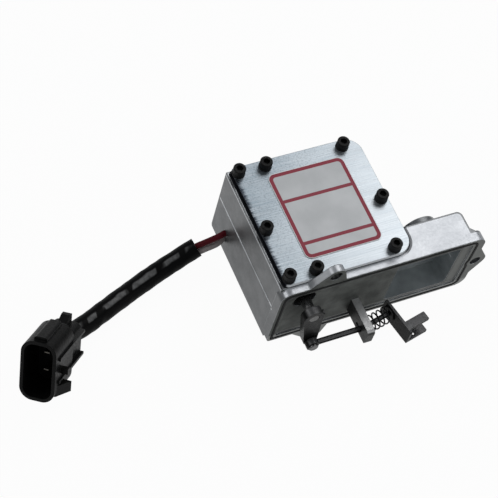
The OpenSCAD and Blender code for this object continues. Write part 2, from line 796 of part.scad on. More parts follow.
// Two leads from the coil, along the far wall to the wire exit
module coil_leads() {
    set_down() color([0.55, 0.08, 0.08]) for (side = [-1, 1]) {
        z = exit_z + side * exit_pitch / 2;
        x = (tube_x0 + tube_x1) / 2 + 4 * side;
        translate([left_wall, exit_y, z]) rotate([0, 90, 0]) cylinder(d = lead_d, h = x - left_wall);
        translate([x, exit_y, z]) sphere(d = lead_d);
        translate([x, exit_y, min(z, coil_z)]) cylinder(d = lead_d, h = abs(coil_z - z));
        translate([x, exit_y, coil_z]) sphere(d = lead_d);
        bar_y(x, coil_z, lead_d, coil_y1, exit_y);
    }
}

// Place of the pin that holds the return spring's free leg
function anchor_x() = shaft_x - return_r + return_wire / 2 + anchor_d / 2 + 0.1;
function anchor_z() = shaft_z + bearing_od / 2 + anchor_d / 2 + 0.3;

// Torsion spring: one leg lies under the armature's tab, the other stands against the anchor pin
module return_spring() {
    turns = floor(return_turns) + 0.25;
    set_down() color([0.45, 0.46, 0.48]) translate([shaft_x, return_y, shaft_z]) rotate([-90, 0, 0])
        coil_spring(return_r, return_wire, turns, return_len, 90, tab_x1 - shaft_x, return_leg);
}

module spring_anchor() {
    set_down() color([0.6, 0.61, 0.63])
        bar_y(anchor_x(), anchor_z(), anchor_d, return_y + return_len - return_wire - 1,
            chamber_y1 + anchor_deep);
}

module lead_potting() {
    set_down() color([0.07, 0.07, 0.07]) along_x(potting_out, left_wall) exit_outline(seat_gap);
}

module crank() {
    hub = [shaft_x, shaft_z];
    tip = [tip_x, tip_z];
    mid_y = (crank_y0 + crank_y1) / 2;
    set_down() color([0.11, 0.11, 0.12]) difference() {
        along_y(crank_y0, crank_y1) lever_outline(hub, crank_hub_r, tip, crank_tip_r);
        bar_y(shaft_x, shaft_z, shaft_d + 2 * seat_gap, crank_y0 - over, crank_y1 + over);
        bar_y(tip_x, tip_z, pin_d + 2 * seat_gap, crank_y0 - over, crank_y1 + over);
        translate([shaft_x, mid_y, shaft_z]) rotate([0, 90, 0])
            cylinder(d = set_screw_d + 2 * seat_gap, h = crank_hub_r + over);
    }
}

module crank_set_screw() {
    socket = 1.5;
    mid_y = (crank_y0 + crank_y1) / 2;
    set_down() color([0.2, 0.2, 0.21]) translate([shaft_x + shaft_d / 2 + seat_gap, mid_y, shaft_z])
        rotate([0, 90, 0]) difference() {
            cylinder(d = set_screw_d, h = crank_hub_r - shaft_d / 2 - 0.2);
            translate([0, 0, 1.4]) cylinder(d = socket / cos(30), h = crank_hub_r, $fn = 6);
        }
}

module link_pin() {
    r = pin_d / 2;
    head_y = eye_y0 - 0.15;
    groove_y = crank_y1 + 0.15;
    end_y = groove_y + clip_t + 0.9;
    set_down() color([0.55, 0.53, 0.5]) turned_y(tip_x, tip_z, [[0, head_y - pin_head_t],
        [pin_head_d / 2 - 0.3, head_y - pin_head_t], [pin_head_d / 2, head_y - pin_head_t + 0.3],
        [pin_head_d / 2, head_y], [r, head_y], [r, groove_y],
        [pin_groove_d / 2, groove_y], [pin_groove_d / 2, groove_y + clip_t], [r, groove_y + clip_t],
        [r, end_y - 0.3], [r - 0.3, end_y], [0, end_y]]);
}

module pin_clip() {
    y0 = crank_y1 + 0.15 + seat_gap;
    y1 = crank_y1 + 0.15 + clip_t - seat_gap;
    mouth = pin_groove_d * 0.8;
    set_down() color([0.35, 0.35, 0.36]) difference() {
        bar_y(tip_x, tip_z, pin_d + 3, y0, y1);
        bar_y(tip_x, tip_z, pin_groove_d + 2 * seat_gap, y0 - over, y1 + over);
        translate([tip_x - mouth / 2, y0 - over, tip_z - pin_d - 2])
            cube([mouth, clip_t + 2 * over, pin_d + 2]);
    }
}

// Rod with a flat eye on the crank's pin, turned down and bent after the guide post
module link_rod() {
    tail = hook_at + hook_t / 2 + nut_t + rod_over;
    set_down() color([0.16, 0.16, 0.17]) difference() {
        union() {
            bar_y(tip_x, tip_z, 2 * eye_r, eye_y0, eye_y1);
            translate([tip_x, rod_y, rod_z]) rotate([0, 90, 0])
                cylinder(d = rod_d, h = bend_x + 0.3 - tip_x);
            on_rod(-0.5) rotate([0, 90, 0]) cylinder(d = tail_d, h = tail + 0.5);
        }
        bar_y(tip_x, tip_z, pin_d + 2 * pin_gap, eye_y0 - over, eye_y1 + over);
    }
}

// Flat bar let into the casting, with a slot that guides the rod
module guide_post() {
    slot_w = rod_d + 2 * slot_gap;
    set_down() color([0.42, 0.42, 0.43]) difference() {
        along_x(post_x, post_x + post_w)
            plate_outline(-post_reach, post_z0, post_tenon, post_z0 + post_depth, [1, 0.4, 0.4, post_r]);
        along_x(post_x - over, post_x + post_w + over) {
            for (y = [rod_y, rod_y + slot_rise])
                translate([y, rod_z]) circle(d = slot_w);
            translate([rod_y, rod_z - slot_w / 2]) square([slot_rise, slot_w]);
        }
    }
}

module link_spring() {
    set_down() color([0.1, 0.1, 0.1]) on_rod(spring_start) rotate([0, 90, 0])
        coil_spring((spring_od - spring_wire) / 2, spring_wire, spring_turns, spring_end - spring_start);
}

module spring_washer() {
    set_down() color([0.25, 0.25, 0.26]) on_rod(hook_at - hook_t / 2 - spring_washer_t) rotate([0, 90, 0])
        difference() {
            cylinder(d = spring_od - 0.6, h = spring_washer_t);
            translate([0, 0, -over]) cylinder(d = tail_d + 2 * seat_gap, h = spring_washer_t + 2 * over);
        }
}

// Folded sheet: a plate across the rod with two fork ears at its low end
module hook() {
    corner = 0.5;
    set_down() color([0.14, 0.14, 0.15]) on_rod(hook_at) difference() {
        union() {
            along_x(-hook_t / 2, hook_t / 2) plate_outline(-hook_down, -hook_w / 2, hook_up, hook_w / 2,
                [0.3, corner, corner, fork_step]);
            for (side = [0, 1])
                translate([-hook_t / 2, side * fork_step - hook_down, side * (hook_w - hook_t) - hook_w / 2])
                    linear_extrude(hook_t)
                        plate_outline(0, 0, hook_t + fork_len, fork_w, [0.3, corner, corner, 0.3]);
        }
        translate([-over - hook_t, 0, 0]) rotate([0, 90, 0])
            cylinder(d = tail_d + 2 * seat_gap, h = 2 * (hook_t + over));
        translate([hook_t / 2 + fork_len * 0.38, fork_w / 2 - hook_down, -hook_w / 2 - over])
            cylinder(d = fork_hole_d, h = hook_t + 2 * over);
    }
}

module hook_nut() {
    set_down() color([0.3, 0.3, 0.31]) on_rod(hook_at + hook_t / 2) rotate([0, 90, 0]) difference() {
        cylinder(d = nut_af / cos(30), h = nut_t, $fn = 6);
        translate([0, 0, -over]) cylinder(d = tail_d + 2 * seat_gap, h = nut_t + 2 * over);
    }
}

module red_wire() {
    color([0.5, 0.07, 0.09]) tube_along(red_route, wire_d, 8);
}

module white_wire() {
    color([0.82, 0.82, 0.82]) tube_along(white_route, wire_d, 8);
}

module sleeve() {
    color([0.05, 0.05, 0.06]) tube_along(sleeve_route, sleeve_d, 12);
}

// Puts a piece on the connector: X out of its mouth
module at_connector() {
    translate(connector_at) rotate(connector_turn) children();
}

module shroud_outline(inset) {
    r = shroud_r - inset;
    plate_outline(-shroud_w / 2 + inset, -shroud_h / 2 + inset, shroud_w / 2 - inset, shroud_h / 2 - inset,
        [r, r, r, r]);
}

module connector_body() {
    mouth_x = rear_len + shroud_len;
    stop_x = mouth_x - 10;
    wedge_x = mouth_x - 12;
    side = shroud_w / 2;
    back = rear_seal_t + 1;
    color([0.07, 0.07, 0.08]) at_connector() difference() {
        union() {
            along_x(rear_seal_t, rear_len)
                plate_outline(-rear_w / 2, -rear_h / 2, rear_w / 2, rear_h / 2, [4, 4, 4, 4]);
            along_x(rear_len, mouth_x) shroud_outline(0);
            // rib along the top
            along_x(rear_len + 2, mouth_x - 2) translate([0, shroud_h / 2 - 1])
                plate_outline(-3.5, 0, 3.5, 3, [0.1, 0.1, 1.5, 1.5]);
            // hooked tab at the back
            along_y(-2.5, 2.5) polygon([[back, rear_h / 2 - 1], [back, rear_h / 2 + 5],
                [back + 2.5, rear_h / 2 + 5], [rear_len, rear_h / 2 - 1]]);
            // ribs, stop and wedge on one side
            for (z = [-6.5, 6.5])
                along_x(rear_seal_t + 2, mouth_x - 4) translate([side - 4, z]) square([5, 1.6]);
            along_x(stop_x, stop_x + 3) translate([side - 1, -2]) square([5, 3]);
            translate([0, 0, 3 - shroud_h / 2]) linear_extrude(6) polygon([[mouth_x - 3, side - 4],
                [mouth_x - 3, side - 0.5], [wedge_x, side + 4.5], [wedge_x, side - 4]]);
        }
        along_x(rear_len + shroud_floor, mouth_x + over) shroud_outline(shroud_wall);
        for (end = [-1, 1])
            along_x(rear_len - over, rear_len + shroud_floor + over) pin_outline(end, seat_gap);
    }
}

// Section of one connector pin
module pin_outline(end, gap) {
    translate([-pin_blade_w / 2 - gap, end * pin_pitch / 2 - pin_blade_t / 2 - gap])
        square([pin_blade_w + 2 * gap, pin_blade_t + 2 * gap]);
}

module connector_pins() {
    color([0.75, 0.7, 0.55]) at_connector() for (end = [-1, 1])
        along_x(rear_len - over + seat_gap, rear_len + shroud_floor + pin_blade_len) pin_outline(end, 0);
}

module rear_seal() {
    half_w = sleeve_d / 2 + 1.5;
    half_h = sleeve_d / 2 + 2.5;
    color([0.25, 0.27, 0.3]) at_connector() along_x(0, rear_seal_t)
        plate_outline(-half_w, -half_h, half_w, half_h, [5, 5, 5, 5]);
}

housing();
cover_gasket();
cover_plate();
nameplate();
cover_screws();
lock_washers();
pump_face_seal();
lower_bearing();
upper_bearing();
shaft_seal();
shaft();
retaining_ring();
armature();
magnet_core();
bobbin();
coil();
coil_leads();
return_spring();
spring_anchor();
lead_potting();
crank();
crank_set_screw();
link_pin();
pin_clip();
link_rod();
guide_post();
link_spring();
spring_washer();
hook();
hook_nut();
red_wire();
white_wire();
sleeve();
connector_body();
connector_pins();
rear_seal();
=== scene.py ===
import json
import math

import bmesh
import bpy
from mathutils import Matrix, Vector, noise


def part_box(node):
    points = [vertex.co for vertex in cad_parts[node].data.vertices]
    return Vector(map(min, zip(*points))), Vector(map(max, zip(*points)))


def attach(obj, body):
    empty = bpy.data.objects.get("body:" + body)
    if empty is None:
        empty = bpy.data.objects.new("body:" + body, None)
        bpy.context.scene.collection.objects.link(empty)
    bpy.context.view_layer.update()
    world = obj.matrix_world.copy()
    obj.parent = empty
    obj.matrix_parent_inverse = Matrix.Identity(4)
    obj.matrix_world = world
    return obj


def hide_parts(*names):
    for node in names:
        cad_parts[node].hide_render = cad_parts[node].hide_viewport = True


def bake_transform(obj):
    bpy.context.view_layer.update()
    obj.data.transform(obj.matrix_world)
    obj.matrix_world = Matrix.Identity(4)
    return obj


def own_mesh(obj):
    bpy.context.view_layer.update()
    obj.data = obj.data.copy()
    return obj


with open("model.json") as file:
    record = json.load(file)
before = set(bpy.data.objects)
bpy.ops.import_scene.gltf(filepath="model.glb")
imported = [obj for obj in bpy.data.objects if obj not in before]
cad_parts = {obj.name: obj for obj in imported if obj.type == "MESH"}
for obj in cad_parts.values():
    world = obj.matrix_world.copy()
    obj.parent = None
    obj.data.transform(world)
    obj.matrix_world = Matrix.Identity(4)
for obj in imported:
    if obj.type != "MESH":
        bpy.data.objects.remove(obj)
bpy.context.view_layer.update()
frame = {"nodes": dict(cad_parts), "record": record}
nodes = frame["nodes"]
MM = 0.001

# Places that the finishes and the added pieces are measured from.
cover_low, cover_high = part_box("cover_plate")
plate_low, plate_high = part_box("nameplate")
housing_low, housing_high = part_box("housing")
post_low, post_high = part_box("guide_post")
rod_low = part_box("link_rod")[0]
pin_low, pin_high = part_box("link_pin")
screw_low, screw_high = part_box("cover_screws")
washer_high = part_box("lock_washers")[1]

# Routes of the leads and their sleeve, in millimetres.
RED_ROUTE = [
    (-64, 36.25, 23.95), (-65, 36.25, 23.95), (-67.2, 35.8, 23.5), (-71.5, 35.95, 21.6), (-76, 36.4, 19.2),
    (-79.6, 36.7, 17.5), (-84.5, 36.5, 15.2), (-90.5, 35.6, 13.1), (-96, 34.3, 11.6),
]
WHITE_ROUTE = [
    (-64, 36.25, 18.45), (-65, 36.25, 18.45), (-66.8, 35.2, 18.2), (-69, 34.5, 17.7), (-72, 34.3, 17),
    (-76, 34.35, 15.8), (-79.6, 34.4, 14.3), (-84.5, 34.3, 12.2), (-90.5, 33.4, 10.2), (-96, 32.2, 8.8),
]
SLEEVE_ROUTE = [
    (-79.6, 36.8, 15.8), (-84.5, 36.3, 13.6), (-90.5, 35.3, 11.6), (-97.4, 33.7, 9.9),
    (-104.5, 31.8, 8.6), (-111.7, 29.6, 7.7), (-119, 27.1, 7.2), (-126.3, 24.4, 6.9),
    (-133.7, 21.5, 6.9), (-141.1, 18.5, 7), (-148.6, 15.4, 7.2), (-155, 13.3, 7.5),
    (-159.6, 11.9, 8.1), (-162.7, 10.4, 9.2),
]
EAR_HOLE_D = 6.6 * MM
WIRE_D = 3.4 * MM
SLEEVE_D = 11.6 * MM

# Kinds of node trees and of their sockets.
SHADER_TREE = "ShaderNodeTree"
GEOMETRY_TREE = "GeometryNodeTree"
FLOAT = "NodeSocketFloat"
VECTOR = "NodeSocketVector"
GEOMETRY = "NodeSocketGeometry"
MATERIAL = "NodeSocketMaterial"

# Ranges over which masks rise: directions of a surface, and the usual span of noise.
UPWARD = (0.5, 0.9)
FORWARD = (-0.6, -0.9)
NOISE_SPAN = (0.3, 0.7)

LAMP_TARGET = Vector((0, 0, 0.03))


# Node trees in general.
def new_tree(name, kind, inputs, outputs):
    """An empty tree with named sockets, and its input and output nodes."""
    tree = bpy.data.node_groups.new(name, kind)
    for in_out, sockets in (("INPUT", inputs), ("OUTPUT", outputs)):
        for label, socket_type in sockets.items():
            tree.interface.new_socket(label, in_out=in_out, socket_type=socket_type)
    return tree, add(tree, "NodeGroupInput"), add(tree, "NodeGroupOutput")


def add(tree, kind, **settings):
    """A node of that kind with its properties set."""
    node = tree.nodes.new(kind)
    for name, value in settings.items():
        setattr(node, name, value)
    return node


def join(tree, value, socket):
    """Feeds an input from another node's output, or with a plain value."""
    if isinstance(value, bpy.types.NodeSocket):
        tree.links.new(value, socket)
    else:
        socket.default_value = value


def math_node(tree, operation, first, second=None, clamp=False):
    """One step of arithmetic on numbers."""
    node = add(tree, "ShaderNodeMath", operation=operation, use_clamp=clamp)
    join(tree, first, node.inputs[0])
    if second is not None:
        join(tree, second, node.inputs[1])
    return node.outputs[0]


def times(tree, *values):
    """The product of masks and numbers."""
    result = values[0]
    for value in values[1:]:
        result = math_node(tree, "MULTIPLY", result, value)
    return result


def ramp(tree, value, low, high, to_low=0.0, to_high=1.0):
    """Maps value from low..high to the new range, smoothly and clamped."""
    node = add(tree, "ShaderNodeMapRange", interpolation_type="SMOOTHSTEP")
    join(tree, value, node.inputs["Value"])
    for label, number in (("From Min", low), ("From Max", high), ("To Min", to_low), ("To Max", to_high)):
        join(tree, number, node.inputs[label])
    return node.outputs["Result"]


def between(tree, mask, none, full):
    """A value that goes from none to full as the mask goes from 0 to 1."""
    return ramp(tree, mask, 0.0, 1.0, none, full)


def within(tree, value, low, high, soft=0.15 * MM):
    """1 between low and high, 0 outside, with soft ends."""
    rise = ramp(tree, value, low - soft, low + soft)
    return times(tree, rise, ramp(tree, value, high - soft, high + soft, 1.0, 0.0))


def axes(tree, vector):
    """The X, Y and Z outputs of a vector."""
    node = add(tree, "ShaderNodeSeparateXYZ")
    join(tree, vector, node.inputs[0])
    return node.outputs


def vector_node(tree, x=0.0, y=0.0, z=0.0):
    """A vector of three numbers."""
    node = add(tree, "ShaderNodeCombineXYZ")
    for value, socket in zip((x, y, z), node.inputs):
        join(tree, value, socket)
    return node.outputs[0]


def vector_math(tree, operation, *values):
    """The outputs of one step of arithmetic on vectors."""
    node = add(tree, "ShaderNodeVectorMath", operation=operation)
    for value, socket in zip(values, node.inputs):
        join(tree, value, socket)
    return node.outputs


# Shader trees.
def mix(tree, factor, first, second):
    """Mixes two colours, each an output or a plain colour."""
    node = add(tree, "ShaderNodeMix", data_type="RGBA")
    join(tree, factor, node.inputs[0])
    for colour, socket in ((first, node.inputs[6]), (second, node.inputs[7])):
        join(tree, (*colour, 1) if isinstance(colour, tuple) else colour, socket)
    return node.outputs[2]


def use(tree, group, **values):
    """The group as a node with its inputs given."""
    node = add(tree, "ShaderNodeGroup", node_tree=group)
    for label, value in values.items():
        join(tree, value, node.inputs[label.replace("_", " ")])
    return node


def object_place(tree):
    """Place in the part's frame."""
    return add(tree, "ShaderNodeTexCoord").outputs["Object"]


def surface_normal(tree):
    """Direction of the surface."""
    return add(tree, "ShaderNodeNewGeometry").outputs["Normal"]


def where(tree):
    """Place and direction of the surface, each as X, Y and Z."""
    return axes(tree, object_place(tree)), axes(tree, surface_normal(tree))


def noise_field(tree, place, scale, detail):
    """Smooth noise over a place."""
    node = add(tree, "ShaderNodeTexNoise")
    for label, value in (("Vector", place), ("Scale", scale), ("Detail", detail)):
        join(tree, value, node.inputs[label])
    return node.outputs["Fac"]


def soft_edges_group():
    """Rounded normals at edges, and a mask of the edges themselves."""
    outputs = {"Normal": VECTOR, "Edge": FLOAT}
    tree, source, out = new_tree("soft_edges", SHADER_TREE, {"Radius": FLOAT}, outputs)
    bevel = add(tree, "ShaderNodeBevel", samples=6)
    join(tree, source.outputs["Radius"], bevel.inputs["Radius"])
    likeness = vector_math(tree, "DOT_PRODUCT", bevel.outputs[0], surface_normal(tree))["Value"]
    join(tree, ramp(tree, likeness, 0.75, 0.99, 1.0, 0.0), out.inputs["Edge"])
    join(tree, bevel.outputs[0], out.inputs["Normal"])
    return tree


def grain_group():
    """Cast or moulded surface: fine grain, broad mottle and small specks."""
    tree, source, out = new_tree(
        "surface_grain", SHADER_TREE, {"Grain Scale": FLOAT, "Mottle Scale": FLOAT},
        {"Grain": FLOAT, "Mottle": FLOAT, "Specks": FLOAT},
    )
    place = object_place(tree)
    for output, detail in (("Grain", 3.0), ("Mottle", 4.0)):
        field = noise_field(tree, place, source.outputs[output + " Scale"], detail)
        join(tree, ramp(tree, field, *NOISE_SPAN), out.inputs[output])
    cells_per_grain = 0.45
    cells = add(tree, "ShaderNodeTexVoronoi")
    join(tree, place, cells.inputs["Vector"])
    join(tree, times(tree, source.outputs["Grain Scale"], cells_per_grain), cells.inputs["Scale"])
    join(tree, ramp(tree, cells.outputs["Distance"], 0.08, 0.2, 1.0, 0.0), out.inputs["Specks"])
    return tree


def brushed_group():
    """Fine lines drawn along X by brushing or rolling, and a slower drift of tone."""
    tree, source, out = new_tree(
        "brushed_lines", SHADER_TREE, {"Along": FLOAT, "Across": FLOAT}, {"Lines": FLOAT, "Drift": FLOAT}
    )
    along, across = source.outputs["Along"], source.outputs["Across"]
    spread = vector_math(tree, "MULTIPLY", object_place(tree), vector_node(tree, along, across, across))[0]
    for output, scale in (("Lines", 1.0), ("Drift", 0.16)):
        field = noise_field(tree, spread, scale, 3.0)
        join(tree, ramp(tree, field, *NOISE_SPAN), out.inputs[output])
    return tree


def field_group():
    """A rounded rectangle in the XY plane: 1 inside, 0 outside."""
    tree, source, out = new_tree(
        "round_field", SHADER_TREE, {"Centre": VECTOR, "Half X": FLOAT, "Half Y": FLOAT, "Radius": FLOAT},
        {"Inside": FLOAT},
    )
    radius = source.outputs["Radius"]
    offset = axes(tree, vector_math(tree, "SUBTRACT", object_place(tree), source.outputs["Centre"])[0])
    squares = []
    for axis in ("X", "Y"):
        straight = math_node(tree, "SUBTRACT", source.outputs["Half " + axis], radius)
        beyond = math_node(tree, "SUBTRACT", math_node(tree, "ABSOLUTE", offset[axis]), straight)
        beyond = math_node(tree, "MAXIMUM", beyond, 0.0)
        squares.append(times(tree, beyond, beyond))
    reach = math_node(tree, "SQRT", math_node(tree, "ADD", *squares))
    away = math_node(tree, "SUBTRACT", reach, radius)
    soft = 0.06 * MM
    join(tree, ramp(tree, away, -soft, soft, 1.0, 0.0), out.inputs["Inside"])
    return tree


SOFT_EDGES = soft_edges_group()
GRAIN = grain_group()
BRUSHED = brushed_group()
FIELD = field_group()


def inside(tree, centre, half_x, half_y, radius):
    """A mask of the rounded rectangle with that centre and size."""
    return use(tree, FIELD, Centre=centre, Half_X=half_x, Half_Y=half_y, Radius=radius).outputs["Inside"]


# Materials.
def start_material(name):
    """A new material, its tree and its shader."""
    material = bpy.data.materials.new(name)
    material.use_nodes = True
    tree = material.node_tree
    return material, tree, tree.nodes["Principled BSDF"]


def bump(tree, shader, height, normal, distance):
    """Relief of that height in metres on top of the given normals."""
    node = add(tree, "ShaderNodeBump")
    node.inputs["Strength"].default_value = 1.0
    node.inputs["Distance"].default_value = distance
    join(tree, height, node.inputs["Height"])
    join(tree, normal, node.inputs["Normal"])
    join(tree, node.outputs[0], shader.inputs["Normal"])


def grained(name, dark, pale, worn, metallic, rough, specular=0.5, upper=None):
    """A cast, moulded or plated surface whose tone wanders between two colours, with worn edges, and with
    upper faces painted paler as light when an upper tone is given.
    """
    material, tree, shader = start_material(name)
    edges = use(tree, SOFT_EDGES, Radius=0.4 * MM)
    surface = use(tree, GRAIN, Grain_Scale=900.0, Mottle_Scale=90.0)
    grain, mottle = surface.outputs["Grain"], surface.outputs["Mottle"]
    tone = math_node(tree, "ADD", times(tree, mottle, 0.65), times(tree, grain, 0.35))
    colour = mix(tree, tone, dark, pale)
    if upper:
        facing = where(tree)[1]
        # Painted light: upper faces take the paler upper tone.
        lit_upper = times(tree, ramp(tree, facing["Z"], *UPWARD), between(tree, tone, 0.75, 1.0))
        colour = mix(tree, lit_upper, colour, upper)
    edge = times(tree, edges.outputs["Edge"], ramp(tree, mottle, 0.1, 0.8, 0.35, 1.0))
    join(tree, mix(tree, edge, colour, worn), shader.inputs["Base Color"])
    unevenness = 0.06
    join(tree, between(tree, grain, rough - unevenness, rough + unevenness), shader.inputs["Roughness"])
    shader.inputs["Metallic"].default_value = metallic
    shader.inputs["Specular IOR Level"].default_value = specular
    bump(tree, shader, grain, edges.outputs["Normal"], 0.03 * MM)
    return material


def cast_aluminium():
    """Satin casting: grey walls with a line of flash, tops painted bright as light, a pump face painted dark
    as shade, and a dull window painted pale as light.
    """
    material, tree, shader = start_material("cast_aluminium")
    edges = use(tree, SOFT_EDGES, Radius=0.8 * MM)
    surface = use(tree, GRAIN, Grain_Scale=700.0, Mottle_Scale=110.0)
    grain, mottle = surface.outputs["Grain"], surface.outputs["Mottle"]
    place, facing = where(tree)
    top, face = cover_low.z - 0.5 * MM, housing_low.y
    left, low_end = cover_low.x - 0.9 * MM, housing_high.x - 13.4 * MM
    ear_x, ear_z = left + 27 * MM, housing_high.z - 5.4 * MM
    low_section_x, low_section_y = (13.8 * MM, 14.2 * MM), (face + 19.9 * MM, face + 20.2 * MM)
    window_x, window_z = (5 * MM, 44.2 * MM), (17.9 * MM, 53.8 * MM)
    window_y = (face + 1.3 * MM, face + 15.3 * MM)
    flash_y, flash_z = (face + 5 * MM, face + 77.5 * MM), (38.1 * MM, 39.1 * MM)
    # Tone of the bare flash, and of the painted highlight on the wall's crest.
    bare_metal_and_highlight = (0.72, 0.74, 0.76)

    # Walls, and tops painted bright as light.
    colour = mix(tree, mottle, (0.150, 0.155, 0.160), (0.195, 0.200, 0.205))
    low_section = times(tree, ramp(tree, place["X"], *low_section_x), ramp(tree, place["Y"], *low_section_y))
    high = math_node(tree, "MAXIMUM", low_section, ramp(tree, place["Z"], top - 4 * MM, top - 2 * MM))
    lit_tops = times(tree, ramp(tree, facing["Z"], *UPWARD), high)
    colour = mix(tree, lit_tops, colour, mix(tree, mottle, (0.47, 0.485, 0.51), (0.565, 0.58, 0.605)))

    # Painted light keeps the tops on the right bright as far as two corners, and beyond them a dull rim is
    # painted as shade on the rounded edge.
    right_half = ramp(tree, place["X"], 6 * MM, 12 * MM)
    half_x, half_y = 60 * MM, 30 * MM
    roof = (low_end - 1 * MM, face + 18.9 * MM, 2.4 * MM)
    shelf = (low_end + 6 * MM, face + 5.2 * MM, 0.6 * MM)
    bright = []
    for corner_x, corner_y, radius in (roof, shelf):
        bright.append(inside(tree, (corner_x - half_x, corner_y - half_y, 0), half_x, half_y, radius))
    dull = math_node(tree, "SUBTRACT", 1.0, math_node(tree, "MAXIMUM", *bright))
    colour = mix(tree, times(tree, lit_tops, right_half, dull, 0.9), colour, (0.19, 0.195, 0.20))

    # Painted shade: a dark hollow, which the solids don't have, follows the cover's corner in two steps, of
    # which the inner one is fully dark.
    cover_centre, cover_half = (cover_low + cover_high) / 2, (cover_high - cover_low) / 2
    for out_x, out_y, depth in ((2.9 * MM, 0.9 * MM, 0.8), (1.9 * MM, 0.4 * MM, 1.0)):
        hollow_shade_field = inside(tree, cover_centre, cover_half.x + out_x, cover_half.y + out_y, 10.6 * MM)
        hollow_shade = times(tree, lit_tops, right_half, hollow_shade_field)
        colour = mix(tree, times(tree, hollow_shade, depth), colour, (0.02, 0.021, 0.023))

    # Two painted highlights run as fine lines along the left: one on the top beside the cover, which is
    # painted dull, one on the wall's crest.
    beside = times(tree, lit_tops, ramp(tree, place["X"], left - 0.1 * MM, left + 0.1 * MM, 1.0, 0.0))
    colour = mix(tree, beside, colour, (0.17, 0.175, 0.18))
    line = times(tree, beside, within(tree, place["X"], left - 0.45 * MM, left + 0.2 * MM, 0.1 * MM))
    line = times(tree, line, ramp(tree, mottle, 0.0, 0.8, 0.5, 1.0))
    colour = mix(tree, line, colour, (0.75, 0.77, 0.79))
    crest_highlight = within(tree, place["Z"], top - 0.7 * MM, top + 0.2 * MM)
    crest_highlight = times(tree, ramp(tree, facing["X"], -0.4, -0.7), crest_highlight, 0.85)
    colour = mix(tree, crest_highlight, colour, bare_metal_and_highlight)

    # Pump face painted dark as shade, with paler side and lower margins, and the window behind it painted
    # pale as light.
    shaded_front = ramp(tree, facing["Y"], *FORWARD)
    colour = mix(tree, shaded_front, colour, mix(tree, mottle, (0.078, 0.083, 0.078), (0.145, 0.153, 0.145)))
    side_margin = times(tree, shaded_front, ramp(tree, place["X"], 43 * MM, 46 * MM), 0.8)
    colour = mix(tree, side_margin, colour, (0.21, 0.215, 0.208))
    low_margin = times(tree, shaded_front, ramp(tree, place["Z"], 18.5 * MM, 17 * MM), 0.85)
    colour = mix(tree, low_margin, colour, (0.36, 0.365, 0.355))
    # Painted light: the window's walls are painted pale, and they are not metallic.
    window = times(tree, within(tree, place["X"], *window_x), within(tree, place["Z"], *window_z))
    window = times(tree, window, within(tree, place["Y"], *window_y))
    colour = mix(tree, window, colour, mix(tree, mottle, (0.24, 0.265, 0.275), (0.34, 0.37, 0.38)))

    # Painted shade: the ear's hole is dark inside.
    off_x = math_node(tree, "SUBTRACT", place["X"], ear_x)
    off_z = math_node(tree, "SUBTRACT", place["Z"], ear_z)
    reach = math_node(tree, "ADD", times(tree, off_x, off_x), times(tree, off_z, off_z))
    reach = math_node(tree, "SQRT", reach)
    bore_shade = ramp(tree, reach, EAR_HOLE_D / 2 + 0.1 * MM, EAR_HOLE_D / 2 + 0.3 * MM, 1.0, 0.0)
    colour = mix(tree, bore_shade, colour, (0.035, 0.036, 0.037))

    # Flash along the left wall, and edges worn bright except on the pump face and in the painted shade of
    # the hollows.
    flash = times(tree, within(tree, place["Z"], *flash_z, 0.12 * MM), ramp(tree, facing["X"], -0.5, -0.7))
    flash = times(tree, flash, within(tree, place["Y"], *flash_y), ramp(tree, mottle, 0.0, 0.6, 0.6, 0.95))
    colour = mix(tree, flash, colour, bare_metal_and_highlight)
    rubbed_and_highlight = times(
        tree, edges.outputs["Edge"], ramp(tree, mottle, 0.0, 0.7, 0.55, 0.8),
        ramp(tree, facing["Y"], *FORWARD, 1.0, 0.12), between(tree, window, 1.0, 0.1),
        between(tree, hollow_shade, 1.0, 0.1),
    )
    join(tree, mix(tree, rubbed_and_highlight, colour, (0.60, 0.63, 0.65)), shader.inputs["Base Color"])
    rough = math_node(tree, "ADD", between(tree, grain, 0.35, 0.4), times(tree, shaded_front, 0.25))
    join(tree, rough, shader.inputs["Roughness"])
    join(tree, between(tree, window, 0.85, 0.0), shader.inputs["Metallic"])
    bump(tree, shader, grain, edges.outputs["Normal"], 0.007 * MM)
    return material


